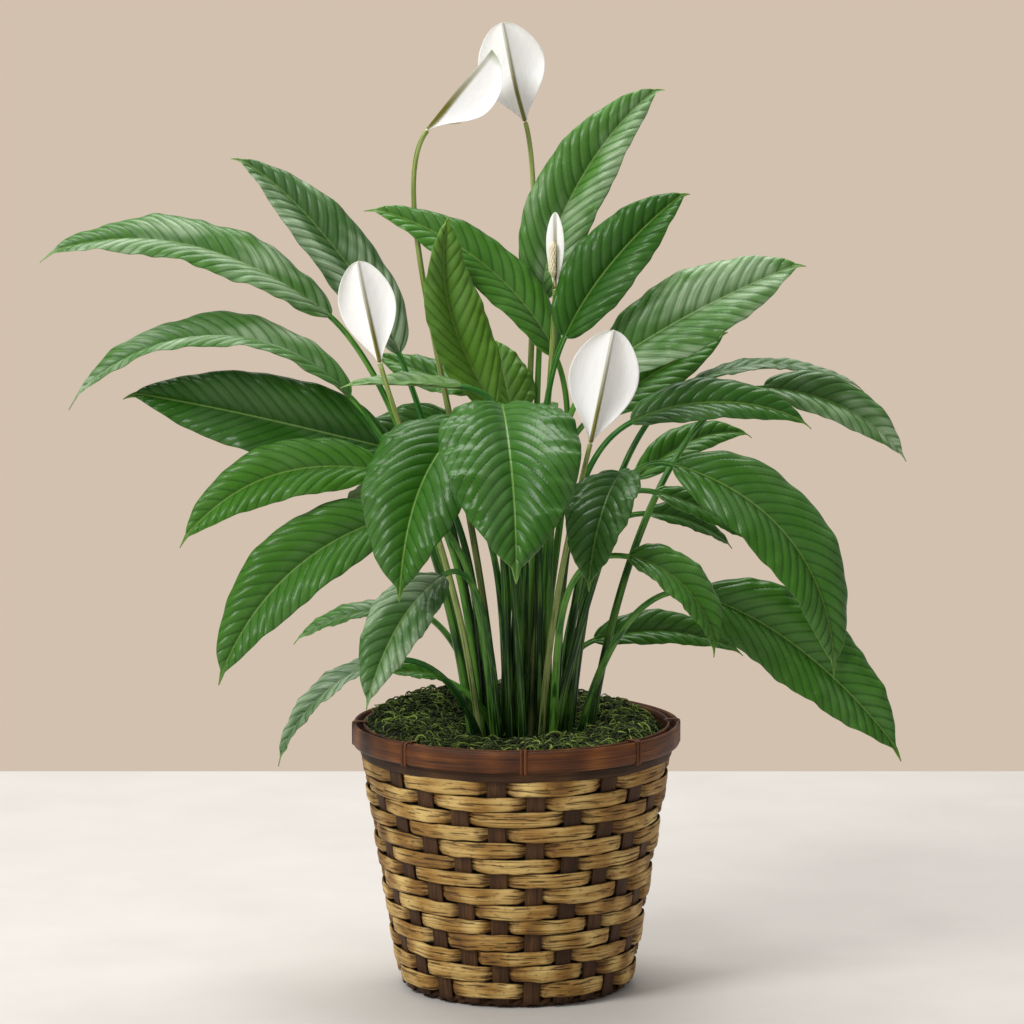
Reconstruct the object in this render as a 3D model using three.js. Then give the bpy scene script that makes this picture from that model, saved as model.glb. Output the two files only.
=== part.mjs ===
// Potted peace lily in a woven basket. Millimetres, +Z up.
// The origin is the centre of the basket's underside, on the surface it stands on.
// +X is to the right and -Y is towards the front.

import * as THREE from 'three';

const { degToRad, lerp } = THREE.MathUtils;

// ---- Driving dimensions -------------------------------------------------------------------

const BASKET_HEIGHT = 188;
const RIM_RADIUS = 115;
const RIM_BAND_HEIGHT = 16;
const WALL_TOP_RADIUS = 110.5;
const WALL_BOTTOM_RADIUS = 82;
const WALL_THICKNESS = 3;
const FOOT_RADIUS = 77;
const FOOT_HEIGHT = 7;
const BASE_THICKNESS = 8;
const INNER_BAND_THICKNESS = 2;
const GAP = 0.3;
const WALL_BOTTOM = FOOT_HEIGHT + GAP;
const WALL_TOP = BASKET_HEIGHT - 3;
const AROUND = 40;

const POT_HEIGHT = 168;
const POT_TOP_RADIUS = 98;
const POT_BOTTOM_RADIUS = 68;
const POT_WALL = 2.5;
const SOIL_TOP = 150;

const CROWN = new THREE.Vector3(6, -12, SOIL_TOP + 1.2);
const CROWN_SPACING = 8.6;
const CROWN_PULL = 0.25;
const CROWN_PASSES = 300;
const STEM_ROOM = 1;
const LEVEL_HEIGHT = 12;
const LEVEL_STEPS = 60;
const EASE_PASSES = 120;
const EASE_RATE = 0.4;
const MOSS_INNER_RADIUS = 58;
const MOSS_INNER_TOP = 180;
const MOSS_CREST_RADIUS = 80;
const MOSS_CREST_TOP = 190;
const MOSS_EDGE_TOP = 184;

const PETIOLE_BASE_RADIUS = 3.5;
const PETIOLE_TOP_RADIUS = 1.9;
const STALK_BASE_RADIUS = 2.8;
const STALK_TOP_RADIUS = 1.7;
const BLADE_THICKNESS = 1.2;
const BLADE_FOLD = 16;
const PETIOLE_STEPS = 8;
const STALK_STEPS = 10;
const BLADE_STEPS = 10;
const PATH_STEPS = 48;

// Each leaf: heading, reach and rise place its knee, where the petiole becomes the blade, round
// the basket's axis. The blade leaves the knee towards face, climbing at climb degrees, and
// meets its tip at end degrees, turning sideways by swing degrees. Then length, width, and roll,
// which leans the upper side to the leaf's own right. Headings turn from +X towards +Y.
const LEAVES = [
  // left side, from the top down
  [165, 85, 445, 170, 68, 30, 0, 185, 50, -45],
  [175, 130, 472, 180, 42, -18, 0, 216, 54, -32],
  [190, 117, 420, 182, 46, -48, 0, 218, 50, -22],
  [188, 87, 382, 182, 15, 10, 0, 191, 66, -64],
  [155, 125, 352, 175, 10, -35, 0, 115, 36, -40],
  [200, 98, 370, 190, 14, -50, 0, 157, 46, -55],
  [208, 94, 340, 196, -12, -70, 0, 175, 60, -50],
  [150, 102, 260, 178, -5, -35, 0, 75, 26, -20],
  [221, 122, 244, 190, -15, -72, 0, 104, 32, -15],
  [238, 96, 304, 230, -20, -70, 0, 115, 46, -20],
  [207, 61, 224, 185, 20, -10, 0, 34, 20, -30],
  // front
  [240, 67, 408, 240, -15, -85, 0, 152, 82, -10],
  [263, 80, 421, 275, -5, -80, 0, 160, 98, 0],
  [230, 58, 430, 178, 5, -5, 0, 84, 26, -12],
  [316, 101, 374, 250, -10, -80, 0, 104, 52, 5],
  [305, 132, 322, 352, -8, -88, 0, 96, 38, 40],
  // upright, in the middle and at the top
  [225, 22, 412, 180, 54, 100, 0, 142, 50, -60],
  [15, 28, 445, 175, 65, 10, 0, 175, 42, -50],
  [66, 44, 480, 10, 85, 35, 0, 180, 56, 60],
  [343, 35, 460, 0, 65, 35, 0, 136, 53, 65],
  [100, 12, 402, 110, 50, 60, 0, 62, 42, 0],
  // right side, from the top down
  [348, 63, 440, 355, 35, 22, 0, 158, 62, 60],
  [48, 87, 398, 15, 32, 28, 0, 110, 42, 60],
  [30, 140, 415, 8, 25, -30, 0, 135, 34, 5],
  [13, 178, 418, 355, 0, -52, 0, 116, 38, 50],
  [346, 82, 402, 357, 28, -30, 0, 130, 38, 45],
  [344, 113, 374, 346, -12, -90, 0, 196, 62, 45],
  [0, 97, 350, 5, -15, -40, 0, 85, 26, 40],
  [26, 102, 328, 20, -5, -40, 0, 72, 24, 40],
  [340, 135, 285, 356, -20, -57, 0, 182, 66, 55],
  [36, 68, 238, 5, 18, -30, 0, 110, 32, 45],
  // back
  [49, 132, 345, 20, 45, -10, 0, 96, 30, 40],
  [135, 38, 418, 150, 10, 18, 0, 88, 28, -40],
  [137, 59, 395, 185, -10, -30, 0, 90, 40, -50],
  [88, 85, 380, 92, 15, -55, 0, 160, 62, 0],
  [122, 80, 340, 128, 10, -55, 0, 150, 56, 0],
];

// Each flower: the same ten values for its spathe, whose knee is the top of its stalk, then the
// spathe's fold. The first spathe is half closed and the others are open.
const FLOWERS = [
  [154, 69, 600, 0, 52, 50, 0, 72, 54, -150, 48],
  [84, 62, 603, 180, 74, 80, 0, 72, 49, 85, 24],
  [212, 110, 448, 180, 76, 80, 0, 72, 41, 85, 24],
  [306, 86, 394, 0, 77, 80, 0, 80, 50, -85, 24],
  [0, 27, 492, 0, 88, 92, 0, 54, 15, 60, 24],
];

// ---- Materials ----------------------------------------------------------------------------

function finish(colour, roughness) {
  return new THREE.MeshStandardMaterial({ color: colour, roughness, metalness: 0 });
}

const LEAF_GREEN = finish(0x35682c, 0.4);
const STALK_GREEN = finish(0x6f9440, 0.5);
const SPATHE_WHITE = finish(0xf1f0e6, 0.55);
const SPADIX_CREAM = finish(0xe6dba8, 0.75);
const STRAW = finish(0xbea068, 0.7);
const DARK_REED = finish(0x4a2e1c, 0.65);
const RED_BAMBOO = finish(0x693c1e, 0.5);
const POT_PLASTIC = finish(0x2b2b2b, 0.6);
const SOIL_BROWN = finish(0x33261c, 0.95);
const MOSS_BROWN = finish(0x4c4527, 0.95);

const object = new THREE.Group();

function addPiece(name, geometry, material) {
  const piece = new THREE.Mesh(geometry, material);
  piece.name = name;
  object.add(piece);
  return piece;
}

// ---- Shared geometry ----------------------------------------------------------------------

// A solid of revolution about Z. Outline points are [radius, height].
function turned(outline) {
  const points = outline.map(([radius, height]) => new THREE.Vector2(radius, height));
  return new THREE.LatheGeometry(points, AROUND).rotateX(Math.PI / 2);
}

// A closed ring whose section is the given outline, anticlockwise in radius and height.
function turnedRing(outline) {
  return turned([...outline, outline[0]]);
}

// A closed skin over rings of equal size, with flat ends.
function loft(rings) {
  const size = rings[0].length;
  const positions = rings.flat().flatMap((point) => point.toArray());
  const triangles = [];
  for (let ring = 0; ring + 1 < rings.length; ring += 1) {
    for (let i = 0; i < size; i += 1) {
      const next = (i + 1) % size;
      const near = ring * size;
      const far = near + size;
      triangles.push(near + i, near + next, far + i);
      triangles.push(near + next, far + next, far + i);
    }
  }
  const last = (rings.length - 1) * size;
  for (let i = 1; i + 1 < size; i += 1) {
    triangles.push(0, i + 1, i);
    triangles.push(last, last + i, last + i + 1);
  }
  const geometry = new THREE.BufferGeometry();
  geometry.setAttribute('position', new THREE.Float32BufferAttribute(positions, 3));
  geometry.setIndex(triangles);
  return geometry;
}

// ---- The plant ----------------------------------------------------------------------------

// Names for one row's values, with the knee as a point, and its stem's radius at both ends.
function readRow(values, thick, thin) {
  const [heading, reach, rise, face, climb, end, swing, length, width, roll] = values;
  const fold = values[10] ?? BLADE_FOLD;
  const angle = degToRad(heading);
  const knee = new THREE.Vector3(reach * Math.cos(angle), reach * Math.sin(angle), rise);
  const lowBend = new THREE.Vector3();
  const highBend = new THREE.Vector3();
  return {
    knee, face, climb, end, swing, length, width, roll, fold, thick, thin, lowBend, highBend,
  };
}

// Direction, upper side and right-hand side of a blade at t, from 0 at its base to 1 at its tip.
function bladeFrame(row, t) {
  const turn = degToRad(row.face + row.swing * t);
  const lift = degToRad(lerp(row.climb, row.end, t));
  const roll = degToRad(row.roll);
  const flat = new THREE.Vector3(Math.cos(turn), Math.sin(turn), 0);
  const along = flat.clone().multiplyScalar(Math.cos(lift)).setZ(Math.sin(lift));
  const up = flat.clone().multiplyScalar(-Math.sin(lift)).setZ(Math.cos(lift));
  const right = new THREE.Vector3().crossVectors(along, up);
  return { along, ...rolled(up, right, roll) };
}

function rolled(up, right, roll) {
  const newUp = up.clone().multiplyScalar(Math.cos(roll)).addScaledVector(right, Math.sin(roll));
  const newRight = right.clone().multiplyScalar(Math.cos(roll)).addScaledVector(up, -Math.sin(roll));
  return { up: newUp, right: newRight };
}

// The point at t on the midrib, stepped out from the knee.
function midribPoint(row, t) {
  const point = row.knee.clone();
  const step = t / PATH_STEPS;
  for (let i = 0; i < PATH_STEPS; i += 1) {
    point.addScaledVector(bladeFrame(row, (i + 0.5) * step).along, step * row.length);
  }
  return point;
}

// The curve of a petiole or stalk: up out of the crown, and into the knee along the blade. Its two
// inner control points carry the row's low and high bends.
function stemCurve(row) {
  const { start, knee } = row;
  const span = start.distanceTo(knee);
  const lean = new THREE.Vector3(knee.x - start.x, knee.y - start.y, 0).multiplyScalar(0.12);
  const first = start.clone().add(lean).add(row.lowBend);
  first.z = start.z + span * 0.45;
  const into = Math.min(span * 0.3, 60);
  const second = knee.clone().addScaledVector(bladeFrame(row, 0).along, -into).add(row.highBend);
  return new THREE.CubicBezierCurve3(start, first, second, knee);
}

// Pushes a and b apart, level with the ground, until they are at least room from each other.
// Returns the push on a, which is half of what is missing.
function levelPush(a, b, room) {
  const push = new THREE.Vector3(a.x - b.x, a.y - b.y, 0);
  const missing = room - push.length();
  return missing > 0 ? push.setLength(missing / 2) : push.set(0, 0, 0);
}

function forEachPair(items, visit) {
  for (let i = 0; i < items.length; i += 1) {
    for (let j = i + 1; j < items.length; j += 1) {
      visit(items[i], items[j]);
    }
  }
}

// Starts every stem on the crown in the direction of its knee, with room round each of them.
function spreadStarts(rows) {
  for (const row of rows) {
    const away = new THREE.Vector3(row.knee.x - CROWN.x, row.knee.y - CROWN.y, 0);
    row.start = CROWN.clone().addScaledVector(away, CROWN_PULL);
  }
  for (let pass = 0; pass < CROWN_PASSES; pass += 1) {
    forEachPair(rows, (a, b) => {
      const push = levelPush(a.start, b.start, CROWN_SPACING);
      a.start.add(push);
      b.start.sub(push);
    });
  }
}

// Where a stem passes each level above the crown, up to its knee or the top of its arch.
function stemLevels(row) {
  const curve = stemCurve(row);
  const levels = [];
  for (let i = 1; i < LEVEL_STEPS; i += 1) {
    const t = i / LEVEL_STEPS;
    const point = curve.getPoint(t);
    const level = Math.floor((point.z - CROWN.z) / LEVEL_HEIGHT);
    if (levels[level] === undefined) {
      levels[level] = { t, point, radius: lerp(row.thick, row.thin, t) };
    }
  }
  return levels;
}

// Eases stems apart wherever two of them would touch at one level, by bending both.
function easeStemsApart(rows) {
  for (let pass = 0; pass < EASE_PASSES; pass += 1) {
    rows.forEach((row) => { row.levels = stemLevels(row); });
    forEachPair(rows, (a, b) => {
      a.levels.forEach((here, level) => {
        const there = b.levels[level];
        if (there === undefined) {
          return;
        }
        const room = here.radius + there.radius + STEM_ROOM;
        const push = levelPush(here.point, there.point, room).multiplyScalar(EASE_RATE);
        bend(a, here.t, push);
        bend(b, there.t, push.negate());
      });
    });
  }
}

function bend(row, t, push) {
  row.lowBend.addScaledVector(push, 3 * t * (1 - t) ** 2);
  row.highBend.addScaledVector(push, 3 * t ** 2 * (1 - t));
}

// One six-sided section: half width, lift of the edges, edge thickness, and heights of the middle.
function section(centre, frame, half, lift, thickness, top, bottom) {
  const corners = [
    [-half, lift + thickness / 2], [0, top], [half, lift + thickness / 2],
    [half, lift - thickness / 2], [0, -bottom], [-half, lift - thickness / 2],
  ];
  return corners.map(([across, high]) => centre.clone()
    .addScaledVector(frame.right, across).addScaledVector(frame.up, high));
}

function roundSection(centre, frame, radius) {
  return section(centre, frame, radius * 0.87, 0, radius, radius, radius);
}

function smooth(t) {
  return t * t * (3 - 2 * t);
}

// Sections along a petiole or stalk. It twists to the blade's roll on the way up.
function stemSections(row, steps) {
  const curve = stemCurve(row);
  const roll = degToRad(row.roll);
  const levelRight = bladeFrame({ ...row, roll: 0 }, 0).right;
  const sections = [];
  for (let i = 0; i < steps; i += 1) {
    const t = i / steps;
    const along = curve.getTangent(t);
    const right = levelRight.clone().addScaledVector(along, -levelRight.dot(along)).normalize();
    const up = new THREE.Vector3().crossVectors(right, along);
    const frame = rolled(up, right, roll * smooth(t));
    const radius = lerp(row.thick, row.thin, t);
    sections.push(roundSection(curve.getPoint(t), frame, radius));
  }
  return sections;
}

// Half width of a blade at t, as a part of its greatest: round at the base, drawn out at the tip.
function bladeOutline(t) {
  return Math.sin(Math.PI * t ** 0.8) ** (0.62 + 0.08 * t);
}

// The same for a spathe: narrow at the base, widest above the middle and blunt at the top.
function spatheOutline(t) {
  return Math.sin(Math.PI * t ** 1.25) ** (1 - 0.45 * t);
}

function bladeSections(row, outline) {
  const foldAngle = degToRad(row.fold);
  const sections = [];
  for (let i = 0; i <= BLADE_STEPS; i += 1) {
    const t = i / BLADE_STEPS;
    const rib = Math.max(row.thin * (1 - t), BLADE_THICKNESS / 2);
    const half = i === BLADE_STEPS ? 0 : row.width / 2 * outline(t);
    const across = Math.max(half * Math.cos(foldAngle), rib * 0.87);
    const lift = half * Math.sin(foldAngle);
    sections.push(section(midribPoint(row, t), bladeFrame(row, t), across, lift,
      BLADE_THICKNESS, BLADE_THICKNESS / 2, rib));
  }
  return sections;
}

function makeLeaf(row, index) {
  const petiole = stemSections(row, PETIOLE_STEPS);
  const blade = bladeSections(row, bladeOutline);
  const name = `leaf_${String(index + 1).padStart(2, '0')}`;
  addPiece(name, loft([...petiole, ...blade]), LEAF_GREEN);
}

// A spadix stands just in front of its spathe, on the upper side, clear of its two halves.
function makeSpadix(name, row) {
  const length = row.length * 0.52;
  const radius = Math.min(4.5, row.width * 0.16);
  const frame = bladeFrame(row, 0);
  const forward = (radius + 1.5) / Math.cos(degToRad(row.fold));
  const start = row.knee.clone().addScaledVector(frame.along, 7).addScaledVector(frame.up, forward);
  const rings = [];
  const steps = 6;
  for (let i = 0; i <= steps; i += 1) {
    const t = i / steps;
    const bulge = radius * (0.45 + 0.55 * Math.sqrt(Math.sin(Math.PI * (0.1 + 0.8 * t))));
    const centre = start.clone().addScaledVector(frame.along, length * t);
    rings.push(roundSection(centre, frame, bulge));
  }
  addPiece(name, loft(rings), SPADIX_CREAM);
}

function makeFlower(row, index) {
  const name = `flower_${index + 1}`;
  const stalkTop = row.knee.clone().addScaledVector(bladeFrame(row, 0).along, -GAP);
  const stalk = stemSections(row, STALK_STEPS);
  stalk.push(roundSection(stalkTop, bladeFrame(row, 0), STALK_TOP_RADIUS));
  addPiece(`${name}_stalk`, loft(stalk), STALK_GREEN);
  const spathe = bladeSections(row, spatheOutline);
  addPiece(`${name}_spathe`, loft(spathe), SPATHE_WHITE);
  makeSpadix(`${name}_spadix`, row);
}

// ---- The basket and what it holds ---------------------------------------------------------

// Radius of the inside of the tapered wall at a height.
function wallInside(height) {
  const share = (height - WALL_BOTTOM) / (WALL_TOP - WALL_BOTTOM);
  return lerp(WALL_BOTTOM_RADIUS, WALL_TOP_RADIUS, share) - WALL_THICKNESS;
}

function makeBasket() {
  addPiece('basket_wall', turnedRing([
    [WALL_BOTTOM_RADIUS - WALL_THICKNESS, WALL_BOTTOM], [WALL_BOTTOM_RADIUS, WALL_BOTTOM],
    [WALL_TOP_RADIUS, WALL_TOP], [WALL_TOP_RADIUS - WALL_THICKNESS, WALL_TOP],
  ]), STRAW);

  const bandBottom = BASKET_HEIGHT - RIM_BAND_HEIGHT;
  const outerInside = WALL_TOP_RADIUS + GAP;
  addPiece('rim_band_outer', turnedRing([
    [outerInside, bandBottom], [RIM_RADIUS, bandBottom],
    [RIM_RADIUS, BASKET_HEIGHT], [outerInside, BASKET_HEIGHT],
  ]), RED_BAMBOO);

  const highOutside = wallInside(BASKET_HEIGHT) - GAP;
  const lowOutside = wallInside(bandBottom) - GAP;
  addPiece('rim_band_inner', turnedRing([
    [lowOutside - INNER_BAND_THICKNESS, bandBottom], [lowOutside, bandBottom],
    [highOutside, BASKET_HEIGHT], [highOutside - INNER_BAND_THICKNESS, BASKET_HEIGHT],
  ]), RED_BAMBOO);

  const ringInside = FOOT_RADIUS - 6;
  addPiece('foot_ring', turnedRing([
    [ringInside, 0], [FOOT_RADIUS, 0], [FOOT_RADIUS, FOOT_HEIGHT], [ringInside, FOOT_HEIGHT],
  ]), DARK_REED);

  const baseRadius = ringInside - GAP;
  addPiece('basket_base', turned([
    [0, 0], [baseRadius, 0], [baseRadius, BASE_THICKNESS], [0, BASE_THICKNESS],
  ]), DARK_REED);
}

function makePotting() {
  const potBottom = BASE_THICKNESS + GAP;
  const floorTop = potBottom + POT_WALL;
  addPiece('grow_pot', turned([
    [0, potBottom], [POT_BOTTOM_RADIUS, potBottom], [POT_TOP_RADIUS, POT_HEIGHT],
    [POT_TOP_RADIUS - POT_WALL, POT_HEIGHT], [POT_BOTTOM_RADIUS - POT_WALL, floorTop], [0, floorTop],
  ]), POT_PLASTIC);

  const slope = (POT_TOP_RADIUS - POT_BOTTOM_RADIUS) / (POT_HEIGHT - floorTop);
  const inside = (height) => POT_BOTTOM_RADIUS - POT_WALL + slope * (height - floorTop) - 2 * GAP;
  const soilBottom = floorTop + GAP;
  addPiece('potting_soil', turned([
    [0, soilBottom], [inside(soilBottom), soilBottom], [inside(SOIL_TOP), SOIL_TOP], [0, SOIL_TOP],
  ]), SOIL_BROWN);

  const mossBottom = SOIL_TOP + GAP;
  const overPot = POT_HEIGHT + GAP;
  const mossOutside = wallInside(overPot) - INNER_BAND_THICKNESS - 2 * GAP;
  addPiece('moss', turnedRing([
    [MOSS_INNER_RADIUS, mossBottom], [inside(mossBottom), mossBottom], [inside(overPot), overPot],
    [mossOutside, overPot], [mossOutside, MOSS_EDGE_TOP], [MOSS_CREST_RADIUS, MOSS_CREST_TOP],
    [MOSS_INNER_RADIUS, MOSS_INNER_TOP],
  ]), MOSS_BROWN);
}

makeBasket();
makePotting();

const leafRows = LEAVES.map((values) => readRow(values, PETIOLE_BASE_RADIUS, PETIOLE_TOP_RADIUS));
const flowerRows = FLOWERS.map((values) => readRow(values, STALK_BASE_RADIUS, STALK_TOP_RADIUS));
const stems = [...leafRows, ...flowerRows];
spreadStarts(stems);
easeStemsApart(stems);
leafRows.forEach(makeLeaf);
flowerRows.forEach(makeFlower);

export default object;
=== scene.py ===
"""Potted peace lily in a woven basket: the looks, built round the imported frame.

The plant and basket are worked out in millimetres, as in the part's source, and made in metres.
"""
import math

import bpy
import numpy as np
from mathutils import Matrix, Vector


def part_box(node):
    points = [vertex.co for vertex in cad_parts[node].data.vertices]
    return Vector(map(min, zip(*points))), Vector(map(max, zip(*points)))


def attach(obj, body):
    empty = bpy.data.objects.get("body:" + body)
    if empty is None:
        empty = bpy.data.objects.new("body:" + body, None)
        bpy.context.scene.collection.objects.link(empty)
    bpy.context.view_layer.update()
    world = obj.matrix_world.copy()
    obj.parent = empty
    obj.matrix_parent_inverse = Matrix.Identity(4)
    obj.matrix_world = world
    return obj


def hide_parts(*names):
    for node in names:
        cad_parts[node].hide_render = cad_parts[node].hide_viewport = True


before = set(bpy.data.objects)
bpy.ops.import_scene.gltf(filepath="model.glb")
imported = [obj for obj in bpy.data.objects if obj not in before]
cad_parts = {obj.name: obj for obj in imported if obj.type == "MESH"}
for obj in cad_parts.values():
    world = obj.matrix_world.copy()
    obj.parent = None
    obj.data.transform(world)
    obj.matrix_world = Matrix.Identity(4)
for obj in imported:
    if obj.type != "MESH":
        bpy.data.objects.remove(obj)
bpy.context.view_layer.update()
scene = bpy.context.scene

MM = 0.001
BODY = "root"
# A whole turn in radians, and the heading of the basket's front in degrees.
FULL_TURN = 6.283
FRONT = -90
rng = np.random.default_rng(7)

# ---- Sizes taken from the frame, in millimetres ----

def node_box(node):
    low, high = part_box(node)
    return np.array(low) / MM, np.array(high) / MM


WALL_LOW, WALL_HIGH = node_box("basket_wall")
RIM_LOW, RIM_HIGH = node_box("rim_band_outer")
INNER_RADIUS = node_box("rim_band_inner")[1][0]
FOOT_HIGH = node_box("foot_ring")[1]
SOIL_TOP = node_box("potting_soil")[1][2]
RIM_RADIUS = RIM_HIGH[0]
RIM_BOTTOM = RIM_LOW[2]
RIM_TOP = RIM_HIGH[2]
WALL_TOP_RADIUS = WALL_HIGH[0]
WALL_BOTTOM_RADIUS = 82.0
FOOT_RADIUS = FOOT_HIGH[0]

# ---- The plant's rows, as in the part's source ----

CROWN = np.array([6.0, -12.0, SOIL_TOP + 1.2])
CROWN_SPACING = 8.6
CROWN_PULL = 0.25
CROWN_PASSES = 300
STEM_ROOM = 1.0
LEVEL_HEIGHT = 12
LEVEL_STEPS = 60
EASE_PASSES = 120
EASE_RATE = 0.4
PATH_STEPS = 48
PETIOLE_RADII = (3.5, 1.9)
STALK_RADII = (2.8, 1.7)
BLADE_FOLD = 16

# Each leaf: heading, reach and rise of its knee round the basket's axis; the way the blade
# faces, its climb at the knee and at the tip, and its swing, in degrees; length, width, roll.
LEAVES = [
    # left side, from the top down
    (165, 85, 445, 170, 68, 30, 0, 185, 50, -45),
    (175, 130, 472, 180, 42, -18, 0, 216, 54, -32),
    (190, 117, 420, 182, 46, -48, 0, 218, 50, -22),
    (188, 87, 382, 182, 15, 10, 0, 191, 66, -64),
    (155, 125, 352, 175, 10, -35, 0, 115, 36, -40),
    (200, 98, 370, 190, 14, -50, 0, 157, 46, -55),
    (208, 94, 340, 196, -12, -70, 0, 175, 60, -50),
    (150, 102, 260, 178, -5, -35, 0, 75, 26, -20),
    (221, 122, 244, 190, -15, -72, 0, 104, 32, -15),
    (238, 96, 304, 230, -20, -70, 0, 115, 46, -20),
    (207, 61, 224, 185, 20, -10, 0, 34, 20, -30),
    # front
    (240, 67, 408, 240, -15, -85, 0, 152, 82, -10),
    (263, 80, 421, 275, -5, -80, 0, 160, 98, 0),
    (230, 58, 430, 178, 5, -5, 0, 84, 26, -12),
    (316, 101, 374, 250, -10, -80, 0, 104, 52, 5),
    (305, 132, 322, 352, -8, -88, 0, 96, 38, 40),
    # upright, in the middle and at the top
    (225, 22, 412, 180, 54, 100, 0, 142, 50, -60),
    (15, 28, 445, 175, 65, 10, 0, 175, 42, -50),
    (66, 44, 480, 10, 85, 35, 0, 180, 56, 60),
    (343, 35, 460, 0, 65, 35, 0, 136, 53, 65),
    (100, 12, 402, 110, 50, 60, 0, 62, 42, 0),
    # right side, from the top down
    (348, 63, 440, 355, 35, 22, 0, 158, 62, 60),
    (48, 87, 398, 15, 32, 28, 0, 110, 42, 60),
    (30, 140, 415, 8, 25, -30, 0, 135, 34, 5),
    (13, 178, 418, 355, 0, -52, 0, 116, 38, 50),
    (346, 82, 402, 357, 28, -30, 0, 130, 38, 45),
    (344, 113, 374, 346, -12, -90, 0, 196, 62, 45),
    (0, 97, 350, 5, -15, -40, 0, 85, 26, 40),
    (26, 102, 328, 20, -5, -40, 0, 72, 24, 40),
    (340, 135, 285, 356, -20, -57, 0, 182, 66, 55),
    (36, 68, 238, 5, 18, -30, 0, 110, 32, 45),
    # back
    (49, 132, 345, 20, 45, -10, 0, 96, 30, 40),
    (135, 38, 418, 150, 10, 18, 0, 88, 28, -40),
    (137, 59, 395, 185, -10, -30, 0, 90, 40, -50),
    (88, 85, 380, 92, 15, -55, 0, 160, 62, 0),
    (122, 80, 340, 128, 10, -55, 0, 150, 56, 0),
]

# Each flower: the same ten values for its spathe, whose knee is the top of its stalk, then the
# spathe's fold. The first spathe is half closed and the others are open.
FLOWERS = [
    (154, 69, 600, 0, 52, 50, 0, 72, 54, -150, 48),
    (84, 62, 603, 180, 74, 80, 0, 72, 49, 85, 24),
    (212, 110, 448, 180, 76, 80, 0, 72, 41, 85, 24),
    (306, 86, 394, 0, 77, 80, 0, 80, 50, -85, 24),
    (0, 27, 492, 0, 88, 92, 0, 54, 15, 60, 24),
]

# Counted from 0: leaves of a lighter, yellower green, and leaves with strong painted sheen, a pale
# grey-green reflection painted into the colour.
YOUNG_LEAVES = (13, 16, 20)
PAINTED_SHEEN_LEAVES = (0, 1, 2, 7, 8, 9, 13, 18, 21, 23, 24)
# A little painted sheen, a faint pale reflection, on every other leaf.
PLAIN_PAINTED_SHEEN = 0.12


def read_row(values, radii):
    heading, reach, rise, face, climb, end, swing, length, width, roll, *fold = values
    angle = math.radians(heading)
    return {
        "knee": np.array([reach * math.cos(angle), reach * math.sin(angle), rise]),
        "face": face, "climb": climb, "end": end, "swing": swing,
        "length": length, "width": width, "roll": roll,
        "fold": fold[0] if fold else BLADE_FOLD,
        "thick": radii[0], "thin": radii[1],
        "low_bend": np.zeros(3), "high_bend": np.zeros(3),
    }


def rolled(up, right, roll):
    new_up = up * math.cos(roll) + right * math.sin(roll)
    new_right = right * math.cos(roll) - up * math.sin(roll)
    return new_up, new_right


def blade_frame(row, t, roll=None):
    """The way along the blade at t, its upper side and its right-hand side."""
    turn = math.radians(row["face"] + row["swing"] * t)
    lift = math.radians(row["climb"] + (row["end"] - row["climb"]) * t)
    flat = np.array([math.cos(turn), math.sin(turn), 0.0])
    along = flat * math.cos(lift) + np.array([0.0, 0.0, math.sin(lift)])
    up = flat * -math.sin(lift) + np.array([0.0, 0.0, math.cos(lift)])
    right = np.cross(along, up)
    up, right = rolled(up, right, math.radians(row["roll"] if roll is None else roll))
    return along, up, right


def midrib_points(row, stations):
    """Points on the midrib at each of the stations, which rise from 0."""
    points = []
    point = row["knee"].copy()
    before = 0.0
    for t in stations:
        steps = max(1, round((t - before) * PATH_STEPS))
        for i in range(steps):
            middle = before + (t - before) * (i + 0.5) / steps
            point = point + blade_frame(row, middle)[0] * row["length"] * (t - before) / steps
        points.append(point)
        before = t
    return np.array(points)


def stem_controls(row):
    start, knee = row["start"], row["knee"]
    span = np.linalg.norm(knee - start)
    lean = (knee - start) * np.array([0.12, 0.12, 0.0])
    first = start + lean + row["low_bend"]
    first[2] = start[2] + span * 0.45
    into = min(span * 0.3, 60.0)
    second = knee - blade_frame(row, 0.0)[0] * into + row["high_bend"]
    return np.array([start, first, second, knee])


def unit(vectors):
    """Rows of vectors, each made 1 long."""
    return vectors / np.maximum(np.linalg.norm(vectors, axis=1, keepdims=True), 1e-6)


def bezier(controls, t):
    t = np.asarray(t, float)[:, None]
    a, b, c, d = controls
    return a * (1 - t) ** 3 + 3 * b * t * (1 - t) ** 2 + 3 * c * t ** 2 * (1 - t) + d * t ** 3


def bezier_tangent(controls, t):
    t = np.asarray(t, float)[:, None]
    a, b, c, d = controls
    slope = (b - a) * (1 - t) ** 2 + 2 * (c - b) * t * (1 - t) + (d - c) * t ** 2
    return unit(slope)


def level_push(a, b, room):
    apart = np.array([a[0] - b[0], a[1] - b[1], 0.0])
    distance = math.hypot(apart[0], apart[1])
    if distance >= room:
        return None
    return apart / distance * (room - distance) / 2


def spread_starts(rows):
    """Starts every stem on the crown in the direction of its knee, with room round each."""
    for row in rows:
        away = (row["knee"] - CROWN) * np.array([1.0, 1.0, 0.0])
        row["start"] = CROWN + away * CROWN_PULL
    for _ in range(CROWN_PASSES):
        for i, a in enumerate(rows):
            for b in rows[i + 1:]:
                push = level_push(a["start"], b["start"], CROWN_SPACING)
                if push is not None:
                    a["start"] = a["start"] + push
                    b["start"] = b["start"] - push


def stem_levels(row):
    """Where a stem first passes each level above the crown."""
    t_values = np.arange(1, LEVEL_STEPS) / LEVEL_STEPS
    levels = {}
    for t, point in zip(t_values, bezier(stem_controls(row), t_values)):
        level = math.floor((point[2] - CROWN[2]) / LEVEL_HEIGHT)
        radius = row["thick"] + (row["thin"] - row["thick"]) * t
        levels.setdefault(level, (t, point, radius))
    return levels


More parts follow.
